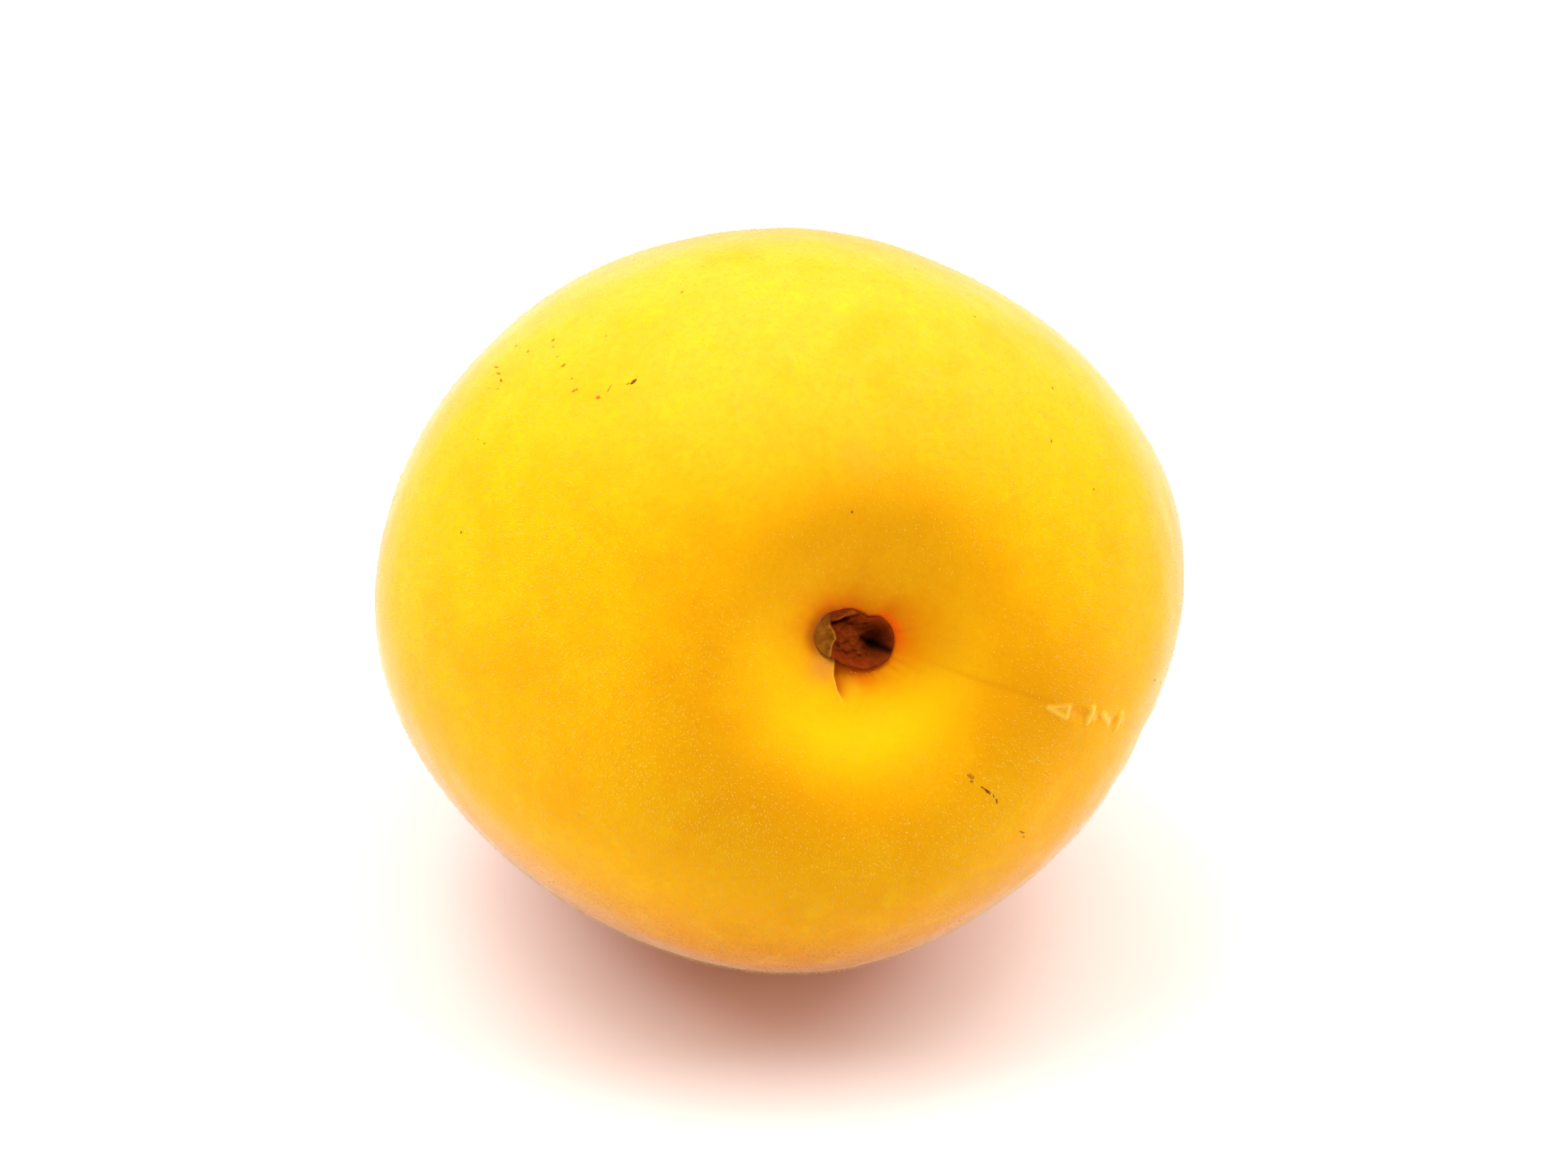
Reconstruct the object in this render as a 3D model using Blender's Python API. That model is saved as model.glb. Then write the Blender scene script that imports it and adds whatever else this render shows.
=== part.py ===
"""A whole apricot at rest: one closed fruit and the dried stalk remnant in its stem hollow.

Metres, +Z up. The origin is the middle of the small flat spot that the fruit rests on. The fruit lies on
its lower cheek with the stem end towards -Y and a little up, and the suture towards +X and down.

The surface is a rounded body turned about the stem axis, drawn out to an oval across it, with a dish and a
pit at the stem end, a shallow furrow (the suture) down one side, and a dimple with a small nub at the apex.
"""

import math

import bmesh
import bpy
import numpy as np
from mathutils import Matrix, Vector

# ---- driving dimensions -------------------------------------------------------------------------
EQUATOR_RADIUS = 0.0240  # mean half width across the stem axis
POLE_RADIUS = 0.0252  # from the centre to either end, before the hollows
FULLNESS = 2.1  # 2 is an ellipsoid, more is boxier
SHOULDER_TAPER = 0.04  # how much wider the stem half is than the apex half

OVAL = 0.0464  # the suture plane is longer than the cheeks by twice this share
OVAL_TURN = math.radians(24.5)
LOBE = 0.0130  # three-sided lopsidedness
LOBE_TURN = math.radians(43.8)
SQUARING = 0.0176  # four-sided fullness
SQUARING_TURN = math.radians(28.8)

DISH_DEPTH = 0.0054  # broad hollow at the stem end
DISH_RADIUS = 0.0076
DISH_POWER = 1.85  # 2 is a bell, less is more like a cone
DISH_SKEW = 0.12  # how much further it reaches on one side
DISH_SKEW_TURN = math.radians(-83.0)  # which side that is
PIT_DEPTH = 0.0016  # steep pit that holds the stalk remnant
PIT_LENGTH = 0.0029  # half length
PIT_WIDTH = 0.0021  # half width across it
PIT_TURN = math.radians(20.0)  # its long way, turned from the suture plane
PIT_ASIDE = -0.0003  # its middle is this far from the stem axis, away from the suture

SUTURE_OFFSET = 0.0007  # the furrow runs a little to one side of the middle
SUTURE_DEPTH = 0.0003
SUTURE_WIDTH = 0.0011
SUTURE_FLAT_DEPTH = 0.0005  # the side is flattened along the suture
SUTURE_FLAT_WIDTH = 0.0060

APEX_DEPTH = 0.0011
APEX_RADIUS = 0.0042
NUB_HEIGHT = 0.0005
NUB_RADIUS = 0.0011

STUB_LENGTH = 0.0043  # stalk remnant, along the suture plane
STUB_WIDTH = 0.0031
STUB_RISE = 0.0009  # its middle above the pit's floor
CLEARANCE = 0.0003  # between the remnant and the skin

REST_DEPTH = 0.0006  # how much of the lowest cheek is pressed flat

STEM_RAISE = math.radians(24.3)  # posture: the stem axis above the horizontal
STEM_SWING = math.radians(8.5)  # and from -Y towards +X
SUTURE_AXIS = Vector((0.920, -0.040, -0.389))  # roughly where the suture faces

FRUIT_COLUMNS, FRUIT_ROWS = 64, 44
STUB_COLUMNS, STUB_ROWS = 32, 14


# ---- shape --------------------------------------------------------------------------------------
def step(low, high, x):
    t = np.clip((x - low) / (high - low), 0.0, 1.0)
    return t * t * (3.0 - 2.0 * t)


def bell(x, width, power=2.0):
    return np.exp(-(np.abs(x / width) ** power))


def dish(v, w):
    """How far the broad hollow goes below the body's own shape at (v, w)."""
    turn = np.arctan2(w, v)
    radius = DISH_RADIUS * (1 + DISH_SKEW * np.cos(turn - DISH_SKEW_TURN))
    return DISH_DEPTH * bell(np.hypot(v, w), radius, DISH_POWER)


def pit_floor(v, w):
    """How far the steep pit goes below the dish at (v, w)."""
    v = v - PIT_ASIDE
    long_way = v * math.cos(PIT_TURN) + w * math.sin(PIT_TURN)
    short_way = w * math.cos(PIT_TURN) - v * math.sin(PIT_TURN)
    reach = np.hypot(long_way / PIT_LENGTH, short_way / PIT_WIDTH)
    return PIT_DEPTH * np.exp(-(reach**3))


def skin_point(polar, turn):
    """A point of the skin. polar runs from 0 at the stem end to pi at the apex, turn is 0 at the suture.

    The result is (v, w, s): v towards the suture, w across it, s out of the stem end.
    """
    around, along = np.sin(polar), np.cos(polar)
    radius = (
        np.abs(around / EQUATOR_RADIUS) ** FULLNESS
        + np.abs(along / POLE_RADIUS) ** FULLNESS
    ) ** (-1.0 / FULLNESS)
    section = (
        OVAL * np.cos(2 * (turn - OVAL_TURN))
        + LOBE * np.cos(3 * (turn - LOBE_TURN))
        + SQUARING * np.cos(4 * (turn - SQUARING_TURN))
    )
    out = radius * around * (1 + section * around**2) * (1 + SHOULDER_TAPER * along)
    v, w, s = out * np.cos(turn), out * np.sin(turn), radius * along

    faces_suture = step(-0.1, 0.25, np.cos(turn))
    middle = bell(polar - 1.75, 0.75)
    furrow = step(0.12, 0.35, polar) * step(3.1, 2.7, polar)
    sunk = faces_suture * (
        SUTURE_FLAT_DEPTH * middle * bell(w, SUTURE_FLAT_WIDTH)
        + SUTURE_DEPTH * furrow * bell(w - SUTURE_OFFSET, SUTURE_WIDTH)
    )
    v, s = v - sunk * around, s - sunk * along

    reach = np.hypot(v, w)
    stem_end = step(1.5, 1.0, polar)
    apex_end = step(1.6, 2.1, polar)
    s = s - stem_end * (dish(v, w) + pit_floor(v, w))
    s = s + apex_end * (
        APEX_DEPTH * bell(reach, APEX_RADIUS) - NUB_HEIGHT * bell(reach, NUB_RADIUS)
    )
    return np.stack([v, w, s], -1)


def floor_height(v, w):
    """Height of the stem hollow's surface along the stem axis, near that axis."""
    return (
        POLE_RADIUS * (1 - (np.hypot(v, w) / EQUATOR_RADIUS) ** FULLNESS / FULLNESS)
        - dish(v, w)
        - pit_floor(v, w)
    )


def moved_sphere(name, columns, rows, place):
    """A UV sphere whose points are moved by place(polar, turn)."""
    mesh = bpy.data.meshes.new(name)
    bm = bmesh.new()
    bmesh.ops.create_uvsphere(bm, u_segments=columns, v_segments=rows, radius=1.0)
    points = np.array([v.co for v in bm.verts])
    polar = np.arccos(np.clip(points[:, 2], -1, 1))
    turn = np.arctan2(points[:, 1], points[:, 0])
    for vert, co in zip(bm.verts, place(polar, turn)):
        vert.co = Vector(co)
    return mesh, bm


def fruit_place(polar, turn):
    """Rows close up towards the stem end, and columns towards the suture."""
    polar = math.pi * (polar / math.pi) ** 1.3
    turn = turn - 0.6 * np.sin(turn)
    return skin_point(polar, turn)


def stub_place(polar, turn):
    """A torn crust: its underside follows the pit, and its top is low, tilted and uneven."""
    ragged = 1 + 0.05 * np.cos(3 * turn + 0.6) + 0.035 * np.cos(5 * turn - 1.1)
    reach = np.sin(polar) ** 0.8 * ragged
    long_way = 0.5 * STUB_LENGTH * reach * np.cos(turn)
    short_way = 0.5 * STUB_WIDTH * reach * np.sin(turn)
    v = long_way * math.cos(PIT_TURN) - short_way * math.sin(PIT_TURN) + PIT_ASIDE
    w = long_way * math.sin(PIT_TURN) + short_way * math.cos(PIT_TURN)
    under = floor_height(v, w) + CLEARANCE * 1.8
    rim = floor_height(PIT_ASIDE, 0.0) + STUB_RISE
    lumps = 0.00014 * np.sin(v * 2600.0 + 0.5) * np.cos(w * 3100.0) - 0.05 * v
    top = rim + lumps + 0.00025 * (1 - reach**2)
    upper = step(-0.25, 0.25, np.cos(polar))
    s = under + (np.maximum(top - under, 0.00012)) * upper
    return np.stack([v, w, s], -1)


def posture():
    """The turn from the fruit's own axes (v, w, s) to the world."""
    s = Vector(
        (
            math.sin(STEM_SWING) * math.cos(STEM_RAISE),
            -math.cos(STEM_SWING) * math.cos(STEM_RAISE),
            math.sin(STEM_RAISE),
        )
    )
    v = (SUTURE_AXIS - s * SUTURE_AXIS.dot(s)).normalized()
    w = s.cross(v)
    return Matrix((v, w, s)).transposed()


def press_flat(bm, turn):
    """Cuts the lowest cheek off level and closes it with one flat face. Returns that face's middle."""
    down = turn.inverted() @ Vector((0, 0, -1))
    lowest = max(v.co.dot(down) for v in bm.verts)
    at = down * (lowest - REST_DEPTH)
    cut = bmesh.ops.bisect_plane(
        bm,
        geom=bm.verts[:] + bm.edges[:] + bm.faces[:],
        dist=1e-7,
        plane_co=at,
        plane_no=down,
        clear_outer=True,
    )
    rim = [g for g in cut["geom_cut"] if isinstance(g, bmesh.types.BMEdge)]
    face = bmesh.ops.contextual_create(bm, geom=rim)["faces"][0]
    middle = face.calc_center_median_weighted()
    bmesh.ops.recalc_face_normals(bm, faces=bm.faces[:])
    return middle


# ---- scene --------------------------------------------------------------------------------------
def plain_material(name, colour, roughness):
    material = bpy.data.materials.new(name)
    material.use_nodes = True
    shader = material.node_tree.nodes["Principled BSDF"]
    shader.inputs["Base Color"].default_value = (*colour, 1.0)
    shader.inputs["Roughness"].default_value = roughness
    shader.inputs["Metallic"].default_value = 0.0
    return material


def add_node(name, mesh, bm, material, collection, parent, place):
    bm.to_mesh(mesh)
    bm.free()
    mesh.shade_smooth()
    mesh.set_sharp_from_angle(angle=math.radians(40))
    mesh.materials.append(material)
    obj = bpy.data.objects.new(name, mesh)
    collection.objects.link(obj)
    obj.parent = parent
    obj.matrix_local = place
    return obj


def main():
    for obj in list(bpy.data.objects):
        bpy.data.objects.remove(obj, do_unlink=True)

    collection = bpy.data.collections.new("apricot")
    bpy.context.scene.collection.children.link(collection)
    rest = bpy.data.objects.new("rest_spot", None)
    rest.empty_display_size = 0.01
    collection.objects.link(rest)

    turn = posture()
    skin = plain_material("apricot_skin", (0.93, 0.50, 0.03), 0.55)
    bark = plain_material("dry_stalk", (0.20, 0.075, 0.02), 0.85)

    fruit_mesh, fruit_bm = moved_sphere(
        "fruit", FRUIT_COLUMNS, FRUIT_ROWS, fruit_place
    )
    middle = press_flat(fruit_bm, turn)
    place = Matrix.Translation(-(turn @ middle)) @ turn.to_4x4()
    add_node("fruit", fruit_mesh, fruit_bm, skin, collection, rest, place)

    stub_mesh, stub_bm = moved_sphere("stalk_stub", STUB_COLUMNS, STUB_ROWS, stub_place)
    bmesh.ops.recalc_face_normals(stub_bm, faces=stub_bm.faces[:])
    add_node("stalk_stub", stub_mesh, stub_bm, bark, collection, rest, place)


main()
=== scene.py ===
import math

import bpy
import numpy as np
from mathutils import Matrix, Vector


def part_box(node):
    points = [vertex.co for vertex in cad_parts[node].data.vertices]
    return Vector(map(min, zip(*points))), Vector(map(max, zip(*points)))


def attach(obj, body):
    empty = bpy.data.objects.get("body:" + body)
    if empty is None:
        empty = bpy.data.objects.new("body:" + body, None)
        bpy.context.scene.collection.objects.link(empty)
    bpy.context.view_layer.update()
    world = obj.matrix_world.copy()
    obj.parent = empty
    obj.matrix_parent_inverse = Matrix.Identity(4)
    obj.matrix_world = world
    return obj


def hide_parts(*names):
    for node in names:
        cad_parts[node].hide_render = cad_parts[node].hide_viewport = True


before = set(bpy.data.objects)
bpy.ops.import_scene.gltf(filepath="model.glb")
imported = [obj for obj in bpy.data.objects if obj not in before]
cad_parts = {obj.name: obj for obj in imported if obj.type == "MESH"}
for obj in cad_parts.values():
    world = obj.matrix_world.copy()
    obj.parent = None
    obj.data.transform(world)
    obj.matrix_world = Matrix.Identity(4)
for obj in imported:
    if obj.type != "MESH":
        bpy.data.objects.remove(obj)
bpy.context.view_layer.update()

MM = 0.001

# ---- the fruit's shape, as in the solid ---------------------------------------------------------
EQUATOR_RADIUS = 0.0240
POLE_RADIUS = 0.0252
FULLNESS = 2.1
SHOULDER_TAPER = 0.04
OVAL, OVAL_TURN = 0.0464, math.radians(24.5)
LOBE, LOBE_TURN = 0.0130, math.radians(43.8)
SQUARING, SQUARING_TURN = 0.0176, math.radians(28.8)
DISH_DEPTH, DISH_RADIUS, DISH_POWER = 0.0054, 0.0076, 1.85
DISH_SKEW, DISH_SKEW_TURN = 0.12, math.radians(-83.0)
PIT_DEPTH = 0.0017
SUTURE_FLAT_DEPTH, SUTURE_FLAT_WIDTH = 0.0005, 0.0060
APEX_DEPTH, APEX_RADIUS = 0.0011, 0.0042
NUB_HEIGHT, NUB_RADIUS = 0.0005, 0.0011
STEM_RAISE, STEM_SWING = math.radians(24.3), math.radians(8.5)
SUTURE_AXIS = Vector((0.920, -0.040, -0.389))
SCAR_TURN = math.radians(20.5)  # the scar's long way, level as the fruit lies
SCAR_MIDDLE = (-0.26, 0.13)  # mm, in the scar's own plane

ROWS, COLUMNS, WARP = 352, 270, 0.70
# how far apart the rows are, in mm: (polar angle, spacing)
ROW_SPACING = [
    (0.00, 0.080), (0.05, 0.064), (0.20, 0.075), (0.25, 0.130), (0.42, 0.130),
    (0.46, 0.095), (0.84, 0.095), (0.95, 0.280), (1.30, 0.420), (math.pi, 0.470),
]


def step(low, high, x):
    t = np.clip((x - low) / (high - low), 0.0, 1.0)
    return t * t * (3.0 - 2.0 * t)


def bell(x, width, power=2.0):
    return np.exp(-(np.abs(x / width) ** power))


def posture():
    s = Vector(
        (
            math.sin(STEM_SWING) * math.cos(STEM_RAISE),
            -math.cos(STEM_SWING) * math.cos(STEM_RAISE),
            math.sin(STEM_RAISE),
        )
    )
    v = (SUTURE_AXIS - s * SUTURE_AXIS.dot(s)).normalized()
    w = s.cross(v)
    return np.array((v, w, s))  # rows are the fruit's axes: local @ this = world


AXES = posture()


class Waves:
    """Smooth band-limited noise in 3-D, a seeded sum of sines. wavelength in the points' own unit."""

    def __init__(self, seed, wavelength, count=24):
        rng = np.random.default_rng(seed)
        d = rng.normal(size=(count, 3))
        d /= np.linalg.norm(d, axis=1)[:, None]
        self.k = (
            d * (2 * math.pi / wavelength) * rng.uniform(0.65, 1.5, size=(count, 1))
        )
        self.phase = rng.uniform(0, 2 * math.pi, size=count)
        self.scale = math.sqrt(2.0 / count)

    def __call__(self, p):
        out = np.zeros(p.shape[:-1])
        for k, phase in zip(self.k, self.phase):
            out += np.sin(p @ k + phase)
        return out * self.scale


# ---- the scar in the stem hollow ----------------------------------------------------------------
# Its outline in its own plane, in mm from its middle: x level to the right, y up, seen from outside.
SCAR_RIM = np.array(
    [
        (-2.34, 0.10), (-2.27, 0.72), (-1.87, 1.36), (-0.87, 1.66), (-0.01, 1.60),
        (0.40, 1.40), (0.82, 1.14), (1.16, 1.24), (1.47, 1.22), (2.17, 0.60),
        (2.33, -0.24), (2.01, -1.18), (1.14, -1.62), (-0.09, -1.50), (-1.02, -1.14),
        (-1.99, -0.57),
    ]
)


def rim_radius(angle):
    """The scar outline's radius in mm, at an angle in its own plane."""
    a = np.arctan2(SCAR_RIM[:, 1], SCAR_RIM[:, 0])
    r = np.hypot(SCAR_RIM[:, 0], SCAR_RIM[:, 1])
    o = np.argsort(a)
    a, r = a[o], r[o]
    a = np.concatenate([a - 2 * math.pi, a, a + 2 * math.pi])
    r = np.concatenate([r, r, r])
    fine = np.linspace(-math.pi, math.pi, 721)
    # a short running mean rounds the corners
    raw = np.interp(fine, a, r)
    kernel = np.hanning(25)
    kernel /= kernel.sum()
    padded = np.concatenate([raw[-32:-1], raw, raw[1:32]])
    soft = np.convolve(padded, kernel, mode="same")[31:-31]
    # SCAR_RIM follows the outer side of the soft edge; the scar itself ends just inside it
    return 0.94 * np.interp((angle + math.pi) % (2 * math.pi) - math.pi, fine, soft)


def scar_plane(v, w):
    """(v, w) in metres to the scar's plane in mm from the scar's middle."""
    c, s = math.cos(SCAR_TURN), math.sin(SCAR_TURN)
    return (c * v + s * w) / MM - SCAR_MIDDLE[0], (-s * v + c * w) / MM - SCAR_MIDDLE[1]


def from_scar_plane(x, y):
    c, s = math.cos(SCAR_TURN), math.sin(SCAR_TURN)
    x, y = (x + SCAR_MIDDLE[0]) * MM, (y + SCAR_MIDDLE[1]) * MM
    return c * x - s * y, s * x + c * y


def scar_share(v, w):
    """0 at the scar's middle, 1 on its outline, growing outwards."""
    x, y = scar_plane(v, w)
    return np.hypot(x, y) / rim_radius(np.arctan2(y, x))


def path_distance(x, y, path):
    """Signed distance to a polyline (positive on its left going along it) and the share of its length."""
    best = np.full(x.shape, 1e9)
    sign = np.ones(x.shape)
    share = np.zeros(x.shape)
    lengths = [math.dist(a, b) for a, b in zip(path[:-1], path[1:])]
    total, gone = sum(lengths), 0.0
    for (ax, ay), (bx, by), length in zip(path[:-1], path[1:], lengths):
        dx, dy = bx - ax, by - ay
        t = np.clip(((x - ax) * dx + (y - ay) * dy) / (length * length), 0, 1)
        d = np.hypot(x - ax - t * dx, y - ay - t * dy)
        side = (x - ax) * dy - (y - ay) * dx
        near = d < best
        best = np.where(near, d, best)
        sign = np.where(near, np.where(side >= 0, -1.0, 1.0), sign)
        share = np.where(near, (gone + t * length) / total, share)
        gone += length
    return best * sign, share


# a fold runs from the scar's lower left down the hollow's wall
CREASE = [
    (-0.95, -0.95), (-0.99, -1.30), (-1.01, -2.10), (-0.84, -2.80), (-0.54, -3.40),
    (-0.28, -3.85),
]


# ---- the suture ---------------------------------------------------------------------------------
def suture_middle(polar):
    """How far to the side of the plane of symmetry the suture runs, in metres."""
    return (
        0.00040 + 0.00068 * step(0.05, 0.75, polar) - 0.00060 * step(1.2, 2.6, polar)
    )


# short folds across the suture, in mm: (along, across) of both ends, height, half width.
# along is measured on the skin from the stem end, across from the plane of symmetry.
FOLDS = [
    ((10.43, 0.52), (11.70, 0.98), 0.036, 0.10),
    ((10.43, 0.50), (11.83, 0.30), 0.042, 0.10),
    ((11.10, 0.58), (11.65, 0.62), 0.014, 0.20),
    ((11.78, 0.95), (11.90, 0.38), 0.060, 0.10),
    ((13.70, 1.32), (13.72, 0.52), 0.130, 0.12),
    ((13.95, 0.90), (14.25, 0.82), 0.035, 0.14),
    ((14.80, 1.22), (15.85, 0.86), 0.070, 0.13),
    ((16.85, 1.57), (16.95, 0.70), 0.120, 0.13),
    ((17.30, 1.35), (17.50, 1.10), 0.030, 0.12),
]
# the hollows between them: (along, across) middle, half sizes, depth
SINKS = [
    ((12.92, 0.80), (0.72, 0.42), 0.090),
    ((16.40, 0.98), (0.42, 0.38), 0.060),
    ((14.60, 0.85), (0.30, 0.35), 0.035),
]
SKIN_RADIUS = 23.5  # mm, turns polar angle into length along the skin


def suture_relief(polar, w):
    """Height of the folds in metres, and masks of the folds and of the sinks."""
    along, across = polar * SKIN_RADIUS, w / MM
    folds = np.zeros_like(polar)
    for a, b, high, half in FOLDS:
        d, t = path_distance(along, across, [a, b])
        ridge = 1.6 * high * np.exp(-((np.abs(d) / (1.45 * half)) ** 2.5))
        folds = np.maximum(folds, ridge) + 0.25 * np.minimum(folds, ridge)
    sinks = np.zeros_like(polar)
    for (a, b), (ra, rb), deep in SINKS:
        reach = np.hypot((along - a) / ra, (across - b) / rb)
        sinks = np.maximum(sinks, deep * np.exp(-(reach**4)))
    return (folds - sinks) * MM, folds / 0.10, sinks / 0.09


def body_point(polar, turn):
    around, along = np.sin(polar), np.cos(polar)
    radius = (
        np.abs(around / EQUATOR_RADIUS) ** FULLNESS
        + np.abs(along / POLE_RADIUS) ** FULLNESS
    ) ** (-1.0 / FULLNESS)
    section = (
        OVAL * np.cos(2 * (turn - OVAL_TURN))
        + LOBE * np.cos(3 * (turn - LOBE_TURN))
        + SQUARING * np.cos(4 * (turn - SQUARING_TURN))
    )
    out = radius * around * (1 + section * around**2) * (1 + SHOULDER_TAPER * along)
    v, w, s = out * np.cos(turn), out * np.sin(turn), radius * along
    faces_suture = step(-0.1, 0.25, np.cos(turn))
    sunk = (
        faces_suture
        * SUTURE_FLAT_DEPTH
        * bell(polar - 1.75, 0.75)
        * bell(w, SUTURE_FLAT_WIDTH)
    )
    v, s = v - sunk * around, s - sunk * along
    reach = np.hypot(v, w)
    stem_end = step(1.5, 1.0, polar)
    apex_end = step(1.6, 2.1, polar)
    wide = DISH_RADIUS * (1 + DISH_SKEW * np.cos(np.arctan2(w, v) - DISH_SKEW_TURN))
    s = s - stem_end * DISH_DEPTH * bell(reach, wide, DISH_POWER)
    s = s + apex_end * (
        APEX_DEPTH * bell(reach, APEX_RADIUS) - NUB_HEIGHT * bell(reach, NUB_RADIUS)
    )
    return np.stack([v, w, s], -1)


def grid_angles():
    """Rows and columns of the skin's grid, closest at the scar and along the suture."""
    fine = np.linspace(0, math.pi, 20001)
    where, mm = np.array(ROW_SPACING).T
    density = 1.0 / np.interp(fine, where, mm)
    total = np.concatenate([[0], np.cumsum((density[1:] + density[:-1]) / 2)])
    rows = np.interp(np.arange(1, ROWS) / ROWS, total / total[-1], fine)
    u = 2 * math.pi * np.arange(COLUMNS) / COLUMNS - math.pi
    return rows, u - WARP * np.sin(u)


def grid_normals(points):
    rows = np.gradient(points, axis=0)
    wrapped = np.concatenate([points[:, -1:], points, points[:, :1]], axis=1)
    cols = wrapped[:, 2:] - wrapped[:, :-2]
    normal = np.cross(rows, cols)
    return normal / np.linalg.norm(normal, axis=-1)[..., None]


def skin_grid():
    """The skin as a grid of points, with the masks that its material reads."""
    polar, turn = np.meshgrid(*grid_angles(), indexing="ij")
    base = body_point(polar, turn)
    normal = grid_normals(base)
    v, w, s = base[..., 0], base[..., 1], base[..., 2]
    near_stem = step(0.75, 0.45, polar)
    x, y = scar_plane(v, w)
    share = scar_share(v, w)

    # slow unevenness of the flesh, and small dents
    rise = 0.00010 * Waves(3, 0.017)(base) + 0.000014 * Waves(5, 0.0042)(base)
    rise = rise * step(0.0, 0.3, polar)
    rise += 0.00010 * step(2.6, 2.9, polar) * bell(np.hypot(v, w), 0.0005)

    # the suture: a shallow furrow with a fine line in it, and short folds across it
    faces_suture = step(-0.1, 0.25, np.cos(turn))
    along = step(0.10, 0.24, polar) * step(3.08, 2.7, polar)
    middle = suture_middle(polar) + 0.00005 * np.sin(polar * 19.0 + 0.4)
    across = w - middle
    deeper = step(0.9, 1.3, polar)
    furrow = step(1.10, 1.60, polar) * step(3.05, 2.75, polar)
    rise -= (
        faces_suture
        * along
        * (
            (0.00004 + 0.00006 * deeper + 0.00032 * furrow) * bell(across, 0.0012)
            + (0.000012 + 0.00003 * deeper + 0.00008 * furrow) * bell(across, 0.00022)
        )
    )
    # the skin above the line stands a little over the skin below it
    rise += faces_suture * along * 0.00002 * np.tanh(across / 0.00014) * bell(across, 0.0012)
    suture = faces_suture * along * (
        0.45 * bell(across, 0.00022) + 0.55 * furrow * bell(across, 0.00045)
    )
    relief, folds, sinks = suture_relief(polar, w)
    rise += faces_suture * relief

    # the fold below the scar: its left side stands over its right
    d, t = path_distance(x, y, CREASE)
    fade = step(1.0, 0.55, t)
    width = 0.24 + 0.74 * (1 - t)
    under = step(-0.05, 0.06, d) * np.exp(-((np.maximum(d, 0) / width) ** 1.6))
    over = step(0.06, -0.05, d) * np.exp(-((np.minimum(d, 0) / 0.55) ** 2))
    rise += near_stem * fade * MM * (0.07 * over - 0.34 * under)

    # fine radial puckers round the pit
    ring = bell((share - 1.30) * 2.0, 1.0)
    puckers = np.cos(23 * turn + 3 * np.sin(2 * turn)) + 0.6 * np.cos(37 * turn + 1.0)
    rise += near_stem * 0.000010 * puckers * ring * step(1.05, 1.2, share)

    out = base + normal * rise[..., None]
    # the steep pit under the stalk's scar, and its slightly raised edge
    out[..., 2] -= PIT_DEPTH * step(1.08, 0.76, share) * near_stem
    out[..., 2] += near_stem * 0.00004 * bell(share - 1.22, 0.10)

    # deep orange skin round the scar, reaching farthest above it; its edge is uneven
    angle = np.arctan2(y, x)
    patchy = Waves(51, 0.0021)(base)
    toward = 0.5 + 0.5 * np.cos(angle - math.radians(72))
    beyond = np.maximum(share - 1.0 + 0.05 * patchy, 0)
    halo = np.clip(1.15 * np.exp(-beyond / (0.22 + 0.68 * toward**1.4)), 0, 1)
    under_scar = bell(angle + math.radians(88), math.radians(56))
    halo = np.maximum(halo, under_scar * 0.95 * np.exp(-((beyond / 0.78) ** 2.2)))
    # painted light: redder at the upper right of the rim, where light shines through the thin skin; painted
    # shade, browner, at its left
    rim_glow_light = bell(angle - math.radians(22), math.radians(34)) * bell(share - 1.17, 0.15)
    rim_shade = bell(np.abs(angle) - math.radians(172), math.radians(48)) * bell(share - 1.14, 0.17)
    # painted shade: a darker orange arch on the hollow's upper wall, which faces away from the light
    upper_wall_shade = bell(np.hypot(x - 0.4, y) - 7.2, 2.1) * bell(angle - math.radians(106), math.radians(70), 3.0)
    # painted highlight: yellower skin on the hollow's lower wall, which faces the light
    beyond = np.hypot(x, y)
    below = 0.5 - 0.5 * np.cos(angle - math.radians(96))
    bowl = bell(beyond - 5.4, 1.9) * below**2.0
    lower_left = 0.5 - 0.5 * np.cos(angle - math.radians(62))
    # paler, pinker skin outside the flake, at the lower left
    pink = bell(x + 1.72, 0.85) * bell(y + 1.55, 0.80) * step(0.98, 1.10, share)
    masks = {
        "pit": near_stem * step(1.12, 1.01, share + 0.02 * patchy),
        # painted shade at the rim's left and painted glow at its upper right
        "rim_shade": near_stem * rim_shade,
        "rim_glow_light": near_stem * rim_glow_light,
        "halo": near_stem * halo,
        # painted shade on the hollow's upper wall
        "near": near_stem * upper_wall_shade,
        "flank": np.maximum(
            faces_suture * bell(np.hypot((polar * SKIN_RADIUS - 10.0) / 6.5, across / 0.0042), 1.0),
            near_stem * bell(np.hypot(x - 4.6, y + 0.8), 2.8),
        ),
        # painted shade below the hollow's lower rim, where the skin faces down
        "brow_shade": step(0.80, 0.55, polar) * bell(beyond - 9.6, 2.6) * lower_left**1.5,
        # painted highlight on the hollow's lower wall
        "bowl": bowl * step(0.6, 0.45, polar),
        # the suture's line: partly its own colour, partly painted shade in the furrow
        "suture": suture,
        "tip": step(2.5, 2.8, polar) * bell(np.hypot(v, w), 0.00075, 3.0),
        "dimple": step(2.3, 2.6, polar) * bell(np.hypot(v, w), 0.0042),
        # paler folds, partly painted highlight on the ridges, and painted shade in the sinks between them
        "fold": np.clip(faces_suture * folds, 0, 1),
        "sink_shade": np.clip(faces_suture * sinks, 0, 1),
        # painted shadow in the fold below the scar and a painted highlight on its lip
        "crease_shadow": near_stem * np.clip(fade * under * 1.2, 0, 1),
        "lip_highlight": near_stem * bell(d + 0.07, 0.085) * step(1.0, 0.7, t) * step(1.0, 1.15, share),
        "pink": near_stem * pink * step(0.05, -0.1, d),
    }
    return out, masks


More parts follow.
